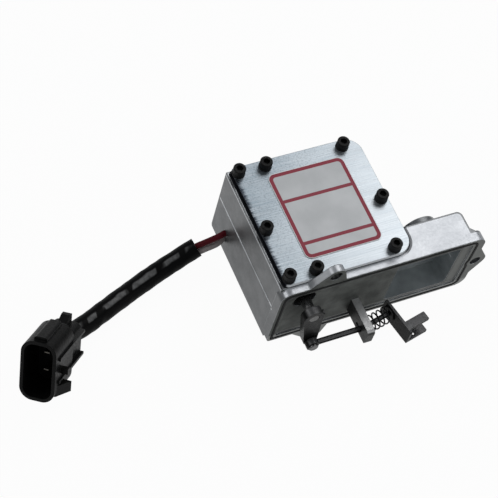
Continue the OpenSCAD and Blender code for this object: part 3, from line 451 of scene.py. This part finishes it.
def cover_steel():
    """Brushed plate with small stains, and painted shade that makes it cooler and darker toward its left
    edge.
    """
    material, tree, shader = start_material("cover_steel")
    edges = use(tree, SOFT_EDGES, Radius=0.35 * MM)
    brushed = use(tree, BRUSHED, Along=40.0, Across=1400.0)
    surface = use(tree, GRAIN, Grain_Scale=1100.0, Mottle_Scale=60.0)
    lines, drift = brushed.outputs["Lines"], brushed.outputs["Drift"]
    grain, mottle = surface.outputs["Grain"], surface.outputs["Mottle"]
    place, facing = where(tree)

    # Painted light and shade: the plate grows paler toward its right and its front.
    across = ramp(tree, place["X"], cover_low.x, cover_high.x, 0.06, 0.8)
    back = ramp(tree, place["Y"], cover_low.y, cover_high.y, 0.2, -0.24)
    share = math_node(tree, "ADD", across, back, True)
    shaded_plate = mix(tree, lines, (0.19, 0.235, 0.27), (0.43, 0.48, 0.52))
    pale = mix(tree, lines, (0.48, 0.52, 0.55), (0.74, 0.78, 0.81))
    colour = mix(tree, share, shaded_plate, pale)

    # Streaks, a pale mottle, small stains, and dark clouds that are strongest on the side painted darker.
    colour = mix(tree, times(tree, drift, 0.28), colour, (0.28, 0.32, 0.36))
    colour = mix(tree, times(tree, mottle, 0.12), colour, (0.70, 0.73, 0.76))
    stain = times(tree, surface.outputs["Specks"], ramp(tree, mottle, 0.2, 0.0), 0.6)
    colour = mix(tree, stain, colour, (0.10, 0.12, 0.14))
    clouds = times(tree, ramp(tree, grain, 0.55, 0.9), ramp(tree, share, 0.0, 0.7, 0.45, 0.06))
    colour = mix(tree, clouds, colour, (0.13, 0.155, 0.175))

    # The edges are worn; painted shade makes the left edge dark and ragged and the left side dark, and
    # painted light makes the front side pale and matt.
    colour = mix(tree, edges.outputs["Edge"], colour, (0.62, 0.65, 0.68))
    teeth = math_node(tree, "ADD", times(tree, mottle, 1.0 * MM), times(tree, lines, 1.8 * MM))
    ragged = math_node(tree, "ADD", place["X"], teeth)
    shade = ramp(tree, ragged, cover_low.x + 1.0 * MM, cover_low.x + 3.6 * MM, 0.92, 0.0)
    colour = mix(tree, shade, colour, (0.012, 0.016, 0.025))
    front = ramp(tree, facing["Y"], -0.4, -0.8)
    colour = mix(tree, front, colour, (0.84, 0.86, 0.88))
    shaded_side = ramp(tree, facing["X"], -0.5, -0.9)
    join(tree, mix(tree, shaded_side, colour, (0.02, 0.022, 0.03)), shader.inputs["Base Color"])
    join(tree, between(tree, lines, 0.3, 0.42), shader.inputs["Roughness"])
    join(tree, between(tree, front, 0.9, 0.0), shader.inputs["Metallic"])
    bump(tree, shader, lines, edges.outputs["Normal"], 0.012 * MM)
    return material


def sleeve_black():
    """Black vinyl tubing whose upper side has grey painted highlights, glossier, between creases that run
    across it.
    """
    material, tree, shader = start_material("sleeve_black")
    surface = use(tree, GRAIN, Grain_Scale=420.0, Mottle_Scale=55.0)
    grain, mottle = surface.outputs["Grain"], surface.outputs["Mottle"]
    facing = where(tree)[1]
    stretch, shift = (150.0, 40.0, 40.0), (2.0, 0.0, 0.0)
    spread = vector_math(tree, "MULTIPLY_ADD", object_place(tree), stretch, shift)[0]
    creases = noise_field(tree, spread, 1.0, 1.5)
    # Painted highlights: grey, glossier lengths on the upper side, broken by the creases.
    rubbed_and_highlight = times(
        tree, ramp(tree, creases, 0.37, 0.48), ramp(tree, facing["Z"], 0.88, 0.96),
        ramp(tree, facing["Y"], 0.0, 0.2, 1.0, 0.0),
    )
    black_tone = mix(tree, mottle, grey(0.001), grey(0.004))
    grey_tone = mix(tree, grain, grey(0.06), grey(0.13))
    join(tree, mix(tree, rubbed_and_highlight, black_tone, grey_tone), shader.inputs["Base Color"])
    join(tree, between(tree, rubbed_and_highlight, 0.45, 0.3), shader.inputs["Roughness"])
    join(tree, between(tree, rubbed_and_highlight, 0.08, 0.4), shader.inputs["Specular IOR Level"])
    bump(tree, shader, mottle, surface_normal(tree), 0.05 * MM)
    return material


def label_foil():
    """Blank fields of colour: a maroon frame and two maroon bars on silver grey."""
    material, tree, shader = start_material("label")
    edges = use(tree, SOFT_EDGES, Radius=0.15 * MM)
    surface = use(tree, GRAIN, Grain_Scale=2200.0, Mottle_Scale=60.0)
    grain, mottle = surface.outputs["Grain"], surface.outputs["Mottle"]
    centre, half = (plate_low + plate_high) / 2, (plate_high - plate_low) / 2
    rim, frame_edge, bar_end, bar_half = 0.3 * MM, 2.4 * MM, 2.0 * MM, 1.0 * MM
    bar_heights = (36.1 * MM, 9.4 * MM)

    outer = inside(tree, centre, half.x - rim, half.y - rim, 3.7 * MM)
    inner = inside(tree, centre, half.x - frame_edge, half.y - frame_edge, 1.8 * MM)
    red = math_node(tree, "SUBTRACT", outer, inner, True)
    for height in bar_heights:
        middle = (centre.x, plate_low.y + height, 0)
        bar = inside(tree, middle, half.x - bar_end, bar_half, 0.05 * MM)
        red = math_node(tree, "MAXIMUM", red, bar)
    silver = mix(tree, mottle, (0.43, 0.44, 0.45), (0.50, 0.51, 0.52))
    silver = mix(tree, times(tree, surface.outputs["Specks"], 0.2), silver, (0.62, 0.63, 0.64))
    maroon = mix(tree, grain, (0.27, 0.020, 0.042), (0.35, 0.030, 0.058))
    colour = mix(tree, red, silver, maroon)
    colour = mix(tree, math_node(tree, "SUBTRACT", 1.0, outer), colour, (0.72, 0.73, 0.74))
    join(tree, colour, shader.inputs["Base Color"])
    join(tree, between(tree, red, 0.42, 0.5), shader.inputs["Roughness"])
    join(tree, between(tree, red, 0.45, 0.1), shader.inputs["Metallic"])
    bump(tree, shader, grain, edges.outputs["Normal"], 0.008 * MM)
    return material


def grey(tone):
    """An even grey."""
    return (tone,) * 3


# Plain finishes: dark and pale tone, worn edges, metallic, roughness, specular level, and the tone painted
# on upper faces as light.
FINISHES = {
    "black_oxide": (grey(0.003), grey(0.008), grey(0.02), 0.0, 0.36, 0.14),
    "seal_rubber": (grey(0.015), grey(0.028), grey(0.03), 0.0, 0.6, 0.1),
    "gasket_fibre": ((0.006, 0.007, 0.01), (0.016, 0.018, 0.022), grey(0.03), 0.0, 0.8, 0.1),
    "ground_steel": (grey(0.09), grey(0.16), grey(0.3), 1.0, 0.3),
    "spring_steel": (grey(0.006), grey(0.016), grey(0.05), 0.5, 0.3, 0.3),
    "iron_stack": ((0.10, 0.10, 0.11), (0.17, 0.17, 0.18), grey(0.3), 0.9, 0.45),
    "copper": ((0.45, 0.16, 0.06), (0.62, 0.25, 0.10), (0.8, 0.4, 0.2), 1.0, 0.3),
    "bobbin_plastic": (grey(0.05), grey(0.08), grey(0.12), 0.0, 0.5),
    "linkage_steel": (grey(0.003), grey(0.008), grey(0.06), 0.6, 0.36, 0.08, (0.12, 0.12, 0.122)),
    "post_steel": ((0.030, 0.031, 0.030), (0.048, 0.049, 0.048), grey(0.2), 0.7, 0.4, 0.2, grey(0.62)),
    "red_insulation": ((0.085, 0.005, 0.010), (0.125, 0.007, 0.014), (0.13, 0.01, 0.017), 0.0, 0.5, 0.12),
    "white_insulation": ((0.30, 0.27, 0.26), (0.42, 0.38, 0.37), grey(0.45), 0.0, 0.5, 0.2),
    "connector_black": (grey(0.003), grey(0.007), grey(0.016), 0.0, 0.4, 0.13),
    "tinned_brass": ((0.10, 0.09, 0.08), (0.16, 0.15, 0.13), grey(0.3), 1.0, 0.3),
    "potting": (grey(0.10), grey(0.14), grey(0.16), 0.0, 0.5, 0.2),
}
MATERIALS = {
    "cast_aluminium": cast_aluminium(),
    "cover_steel": cover_steel(),
    "label": label_foil(),
    "sleeve_black": sleeve_black(),
}
for finish_name, finish in FINISHES.items():
    MATERIALS[finish_name] = grained(finish_name, *finish)

for entry in frame["record"]["subparts"]:
    for slot in nodes[entry["node"]].material_slots:
        slot.material = MATERIALS[entry["material_slot"]]


# Added pieces.
def new_object(name, data):
    """An object of that data in the scene."""
    made = bpy.data.objects.new(name, data)
    bpy.context.scene.collection.objects.link(made)
    return made


def finish_piece(piece, body, slot, replaced):
    """Gives a piece the material of its slot and its body, and hides the solid it stands for."""
    piece.data.materials.clear()
    piece.data.materials.append(MATERIALS[slot])
    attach(piece, body)
    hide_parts(replaced)


def settle(name, points, tree, sizes, body, slot, replaced):
    """Runs a tree on an object of plain points and keeps the result as a plain mesh."""
    mesh = bpy.data.meshes.new(name)
    mesh.from_pydata(points, [], [])
    holder = new_object(name + "_tree", mesh)
    modifier = holder.modifiers.new("tree", "NODES")
    modifier.node_group = tree
    values = {**sizes, "Material": MATERIALS[slot]}
    for item in tree.interface.items_tree:
        if item.in_out == "INPUT" and item.name in values:
            modifier[item.identifier] = values[item.name]
    bpy.context.view_layer.update()
    made = bpy.data.meshes.new_from_object(holder.evaluated_get(bpy.context.evaluated_depsgraph_get()))
    bpy.data.objects.remove(holder)
    piece = new_object(name, made)
    finish_piece(piece, body, slot, replaced)
    return piece


def cylinder(tree, radius, depth, sides, levels=1):
    """An upright cylinder round the origin."""
    node = add(tree, "GeometryNodeMeshCylinder")
    sizes = {"Vertices": sides, "Side Segments": levels, "Radius": radius, "Depth": depth}
    for label, value in sizes.items():
        join(tree, value, node.inputs[label])
    return node.outputs["Mesh"]


def raised(tree, shape, height):
    """The shape moved along Z."""
    node = add(tree, "GeometryNodeTransform")
    join(tree, shape, node.inputs["Geometry"])
    join(tree, vector_node(tree, z=height), node.inputs["Translation"])
    return node.outputs[0]


def set_on_points(tree, source, out, shape, rotation):
    """Ends a tree: the shape stands on every point, is turned and made real, and gets its material."""
    copies = add(tree, "GeometryNodeInstanceOnPoints")
    join(tree, source.outputs["Geometry"], copies.inputs["Points"])
    join(tree, shape, copies.inputs["Instance"])
    join(tree, rotation, copies.inputs["Rotation"])
    real = add(tree, "GeometryNodeRealizeInstances")
    join(tree, copies.outputs[0], real.inputs[0])
    finish = add(tree, "GeometryNodeSetMaterial")
    join(tree, real.outputs[0], finish.inputs["Geometry"])
    join(tree, source.outputs["Material"], finish.inputs["Material"])
    join(tree, finish.outputs[0], out.inputs[0])


def cap_screw_tree():
    """Knurled socket head cap screws on points: the head stands on the point, the shank hangs below."""
    tree, source, out = new_tree(
        "cap_screws", GEOMETRY_TREE,
        {
            "Geometry": GEOMETRY, "Head Radius": FLOAT, "Head Height": FLOAT, "Socket Radius": FLOAT,
            "Socket Depth": FLOAT, "Shank Radius": FLOAT, "Shank Length": FLOAT, "Knurl Depth": FLOAT,
            "Material": MATERIAL,
        },
        {"Geometry": GEOMETRY},
    )
    value = source.outputs
    head = cylinder(tree, value["Head Radius"], value["Head Height"], sides=64, levels=10)
    half = times(tree, value["Head Height"], 0.5)

    # Every second line of the wall is drawn in for the knurl, and the top edge is drawn in for the chamfer.
    place = axes(tree, add(tree, "GeometryNodeInputPosition").outputs[0])
    odd = math_node(tree, "MODULO", add(tree, "GeometryNodeInputIndex").outputs[0], 2.0)
    share = math_node(tree, "DIVIDE", place["Z"], half)
    wall = ramp(tree, math_node(tree, "ABSOLUTE", share), 0.62, 0.82, 1.0, 0.0)
    knurl = times(tree, odd, wall, value["Knurl Depth"])
    chamfer = times(tree, ramp(tree, share, 0.85, 1.0), 0.07)
    shrink = times(tree, math_node(tree, "ADD", knurl, chamfer), -1.0)
    drawn_in = vector_node(tree, times(tree, place["X"], shrink), times(tree, place["Y"], shrink))
    shape = add(tree, "GeometryNodeSetPosition")
    join(tree, head, shape.inputs["Geometry"])
    join(tree, drawn_in, shape.inputs["Offset"])

    # The hexagon stands half above the head, so that its lower half cuts the socket.
    socket_height = times(tree, value["Socket Depth"], 2.0)
    hexagon = cylinder(tree, value["Socket Radius"], socket_height, sides=6)
    cut_out = add(tree, "GeometryNodeMeshBoolean", operation="DIFFERENCE")
    join(tree, shape.outputs[0], cut_out.inputs["Mesh 1"])
    join(tree, raised(tree, hexagon, half), cut_out.inputs["Mesh 2"])
    shank = cylinder(tree, value["Shank Radius"], value["Shank Length"], sides=24)
    screw = add(tree, "GeometryNodeJoinGeometry")
    join(tree, raised(tree, cut_out.outputs[0], half), screw.inputs[0])
    join(tree, raised(tree, shank, times(tree, value["Shank Length"], -0.5)), screw.inputs[0])

    # Each screw stops at an angle of its own.
    full_turn, seed = 6.28, 7
    turn = add(tree, "FunctionNodeRandomValue", data_type="FLOAT")
    turn.inputs[3].default_value = full_turn
    turn.inputs["Seed"].default_value = seed
    set_on_points(tree, source, out, screw.outputs[0], vector_node(tree, z=turn.outputs[1]))
    return tree


def spring_tree():
    """A round-wire coil spring that stands on a point along Z, then is turned to its axis."""
    tree, source, out = new_tree(
        "coil_spring", GEOMETRY_TREE,
        {
            "Geometry": GEOMETRY, "Radius": FLOAT, "Length": FLOAT, "Turns": FLOAT, "Wire Radius": FLOAT,
            "Turn": VECTOR, "Material": MATERIAL,
        },
        {"Geometry": GEOMETRY},
    )
    value = source.outputs
    coil = add(tree, "GeometryNodeCurveSpiral")
    coil.inputs["Resolution"].default_value = 48
    join(tree, value["Turns"], coil.inputs["Rotations"])
    join(tree, value["Radius"], coil.inputs["Start Radius"])
    join(tree, value["Radius"], coil.inputs["End Radius"])
    join(tree, value["Length"], coil.inputs["Height"])
    round_wire = add(tree, "GeometryNodeCurvePrimitiveCircle")
    round_wire.inputs["Resolution"].default_value = 14
    join(tree, value["Wire Radius"], round_wire.inputs["Radius"])
    skin = add(tree, "GeometryNodeCurveToMesh")
    skin.inputs["Fill Caps"].default_value = True
    join(tree, coil.outputs[0], skin.inputs["Curve"])
    join(tree, round_wire.outputs[0], skin.inputs["Profile Curve"])
    smooth = add(tree, "GeometryNodeSetShadeSmooth")
    join(tree, skin.outputs[0], smooth.inputs["Geometry"])
    set_on_points(tree, source, out, smooth.outputs[0], value["Turn"])
    return tree


def cover_screws():
    """Eight screws round the cover, their heads on the lock washers."""
    left, right = cover_high.x - 72 * MM, cover_high.x - 4 * MM
    inner, corner = cover_high.x - 56.4 * MM, cover_high.x - 10.3 * MM
    low, middle, high = cover_low.y + 4 * MM, cover_low.y + 34 * MM, cover_high.y - 4 * MM
    spots = [(left, low), (inner, low), (corner, low), (left, middle), (right, middle)]
    spots += [(left, high), (inner, high), (corner, high)]
    seat = washer_high.z
    sizes = {
        "Head Radius": 3.45 * MM, "Head Height": screw_high.z - seat, "Socket Radius": 1.96 * MM,
        "Socket Depth": 2.3 * MM, "Shank Radius": 2.0 * MM, "Shank Length": seat - screw_low.z,
        "Knurl Depth": 0.045,
    }
    points = [(x, y, seat) for x, y in spots]
    settle("cap_screws", points, cap_screw_tree(), sizes, "casting", "black_oxide", "cover_screws")


def link_spring():
    """The spring on the bent rod."""
    bend = math.radians(12)
    axis = Vector((math.cos(bend), math.sin(bend), 0))
    elbow = Vector(((post_low.x + post_high.x) / 2, rod_low.y + 1.8 * MM, (pin_low.z + pin_high.z) / 2))
    start, end, wire_radius = 3.52 * MM, 17.0 * MM, 0.425 * MM
    sizes = {
        "Radius": 4.375 * MM, "Length": end - start - 2 * wire_radius, "Turns": 4.0,
        "Wire Radius": wire_radius, "Turn": (0.0, math.radians(90), bend),
    }
    points = [elbow + axis * (start + wire_radius)]
    piece = settle("rod_spring", points, spring_tree(), sizes, "casting", "spring_steel", "link_spring")
    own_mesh(piece)


def torsion_spring():
    """The return spring, one leg at the blade's tab and the other at its pin, as one mesh with its doubled
    corners merged.
    """
    source = nodes["return_spring"]
    same_spot = 0.001 * MM
    shape = bmesh.new()
    shape.from_mesh(source.data)
    bmesh.ops.remove_doubles(shape, verts=shape.verts, dist=same_spot)
    mesh = bpy.data.meshes.new("shaft_spring")
    shape.to_mesh(mesh)
    shape.free()
    mesh.transform(source.matrix_world)
    mesh.materials.append(MATERIALS["spring_steel"])
    piece = new_object("shaft_spring", mesh)
    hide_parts("return_spring")
    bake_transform(piece)


# Leads and sleeve.
def smooth_route(points, steps):
    """A Catmull-Rom line through the points, in metres."""
    given = [Vector(p) * MM for p in points]
    ends = [2 * given[0] - given[1], *given, 2 * given[-1] - given[-2]]
    line = []
    for k in range(1, len(ends) - 2):
        a, b, c, d = ends[k - 1:k + 3]
        for step in range(steps):
            t = step / steps
            line.append(0.5 * (
                2 * b + (c - a) * t + (2 * a - 5 * b + 4 * c - d) * t * t + (3 * b - a - 3 * c + d) * t ** 3
            ))
    return [*line, given[-1]]


def wire(name, route, slot, replaced):
    """A lead as a smooth round tube."""
    line = smooth_route(route, 10)
    curve = bpy.data.curves.new(name, "CURVE")
    curve.dimensions = "3D"
    curve.bevel_depth = WIRE_D / 2
    curve.bevel_resolution = 5
    curve.use_fill_caps = True
    spline = curve.splines.new("POLY")
    spline.points.add(len(line) - 1)
    for point, place in zip(spline.points, line):
        point.co = (*place, 1)
    piece = new_object(name, curve)
    finish_piece(piece, "casting", slot, replaced)


def sleeve():
    """Shrunk tubing: a wrinkled skin with a mouth where the leads go in."""
    line = smooth_route(SLEEVE_ROUTE, 24)
    last = len(line) - 1
    sides = 48
    up = Vector((0, 0, 1))
    slow_rate, crease_rate, lean, lean_start = 0.14, 0.2, 0.7, 0.3
    slack, slow_depth, crease_depth = 0.3 * MM, 0.14 * MM, 0.26 * MM
    skin = bmesh.new()
    rings = []

    def tangent_at(k):
        """Direction of the line at one of its points."""
        return (line[min(k + 1, last)] - line[max(k - 1, 0)]).normalized()

    def ring(centre, tangent, radius_at):
        """A ring of corners across the line, whose radius changes with the turn round it."""
        side = tangent.cross(up).normalized()
        rise = side.cross(tangent).normalized()
        made = []
        for k in range(sides):
            turn = 2 * math.pi * k / sides
            out = side * math.cos(turn) + rise * math.sin(turn)
            made.append(skin.verts.new(centre + out * radius_at(turn, out)))
        rings.append(made)

    def plain_ring(k, onward, inset):
        """An even ring, moved on along the line and drawn in, both in millimetres."""
        tangent = tangent_at(k)
        ring(line[k] + tangent * onward * MM, tangent, lambda turn, out: SLEEVE_D / 2 - inset * MM)

    # The mouth is turned in, and the other end is drawn in and closed inside the plug.
    for onward, inset in ((2, 1.1), (0.2, 0.9), (0, 0.6)):
        plain_ring(0, onward, inset)
    travelled = 0.0
    for k, centre in enumerate(line):
        if k:
            travelled += (centre - line[k - 1]).length

        def wrinkled(turn, out, centre=centre, along=travelled / MM):
            """Radius with slow swellings and with creases that lean across the line."""
            spot = (centre + out * SLEEVE_D / 2) / MM
            slow = noise.noise(spot * slow_rate)
            slant = lean * math.sin(turn + lean_start)
            crease = noise.noise(Vector((along * crease_rate + slant, math.cos(turn) * 0.8, 3.1)))
            return SLEEVE_D / 2 - slack + slow_depth * slow + crease_depth * crease
        ring(centre, tangent_at(k), wrinkled)
    plain_ring(last, 0.2, 1)

    for lower, upper in zip(rings, rings[1:]):
        for k in range(sides):
            skin.faces.new((lower[k], lower[(k + 1) % sides], upper[(k + 1) % sides], upper[k]))
    skin.faces.new(list(reversed(rings[0])))
    skin.faces.new(rings[-1])
    bmesh.ops.recalc_face_normals(skin, faces=skin.faces[:])
    for face in skin.faces:
        face.smooth = len(face.verts) == 4
    mesh = bpy.data.meshes.new("tubing")
    skin.to_mesh(mesh)
    skin.free()
    piece = new_object("tubing", mesh)
    finish_piece(piece, "casting", "sleeve_black", "sleeve")


# Stage, light and camera.
def stage():
    """A pale floor and a sky that look white, while the light that comes from the sky is grey."""
    reach = 4.0
    corners = [(-reach, -reach, 0), (reach, -reach, 0), (reach, reach, 0), (-reach, reach, 0)]
    floor = new_object("floor", bpy.data.meshes.new("floor"))
    floor.data.from_pydata(corners, [], [(0, 1, 2, 3)])
    material, tree, shader = start_material("floor_white")
    shader.inputs["Base Color"].default_value = (0.86, 0.86, 0.86, 1)
    shader.inputs["Roughness"].default_value = 0.9
    floor.data.materials.append(material)
    path = add(tree, "ShaderNodeLightPath").outputs
    seen = math_node(tree, "ADD", path["Is Camera Ray"], path["Is Transmission Ray"], True)
    mirrored = times(tree, path["Is Glossy Ray"], 0.6)
    share = math_node(tree, "MAXIMUM", times(tree, seen, 0.96), mirrored)
    glow = add(tree, "ShaderNodeEmission")
    blend = add(tree, "ShaderNodeMixShader")
    for value, socket in zip((share, shader.outputs[0], glow.outputs[0]), blend.inputs):
        join(tree, value, socket)
    join(tree, blend.outputs[0], tree.nodes["Material Output"].inputs["Surface"])

    world = bpy.data.worlds.new("studio")
    bpy.context.scene.world = world
    world.use_nodes = True
    sky = world.node_tree
    looked_at = add(sky, "ShaderNodeLightPath").outputs["Is Camera Ray"]
    join(sky, mix(sky, looked_at, (0.3, 0.31, 0.32), (1, 1, 1)), sky.nodes["Background"].inputs["Color"])


def lamp(name, place, size, power):
    """A square lamp that points at the part and isn't seen itself."""
    light = bpy.data.lights.new(name, "AREA")
    light.shape = "SQUARE"
    light.size = size
    light.energy = power
    piece = new_object(name, light)
    piece.location = place
    piece.visible_camera = False
    piece.rotation_euler = (LAMP_TARGET - Vector(place)).to_track_quat("-Z", "Y").to_euler()


def camera():
    """The photograph's point of view, as fitted to the straight edges of the part."""
    right = Vector((0.90567, -0.38753, 0.17198))
    up = Vector((0.25289, 0.81934, 0.51452))
    back = Vector((-0.3403, -0.4225, 0.84005))
    place = Vector((-350.88, -343.74, 753.40)) * MM
    data = bpy.data.cameras.new("camera")
    data.lens = 115.66
    data.sensor_width = 36
    data.clip_start, data.clip_end = 0.01, 20
    piece = new_object("camera", data)
    turn = Matrix((right, up, back)).transposed()
    piece.matrix_world = Matrix.Translation(place) @ turn.to_4x4()
    bpy.context.scene.camera = piece


cover_screws()
link_spring()
torsion_spring()
wire("red_lead", RED_ROUTE, "red_insulation", "red_wire")
wire("white_lead", WHITE_ROUTE, "white_insulation", "white_wire")
sleeve()
stage()
lamp("overhead", (0.62, 0.46, 1.0), size=0.75, power=3.3)
lamp("left_fill", (-0.85, 0.45, 0.72), size=0.5, power=1.5)
lamp("front_fill", (0.55, -0.95, 0.55), size=0.6, power=1.3)
camera()
bpy.context.scene.view_settings.view_transform = "Standard"
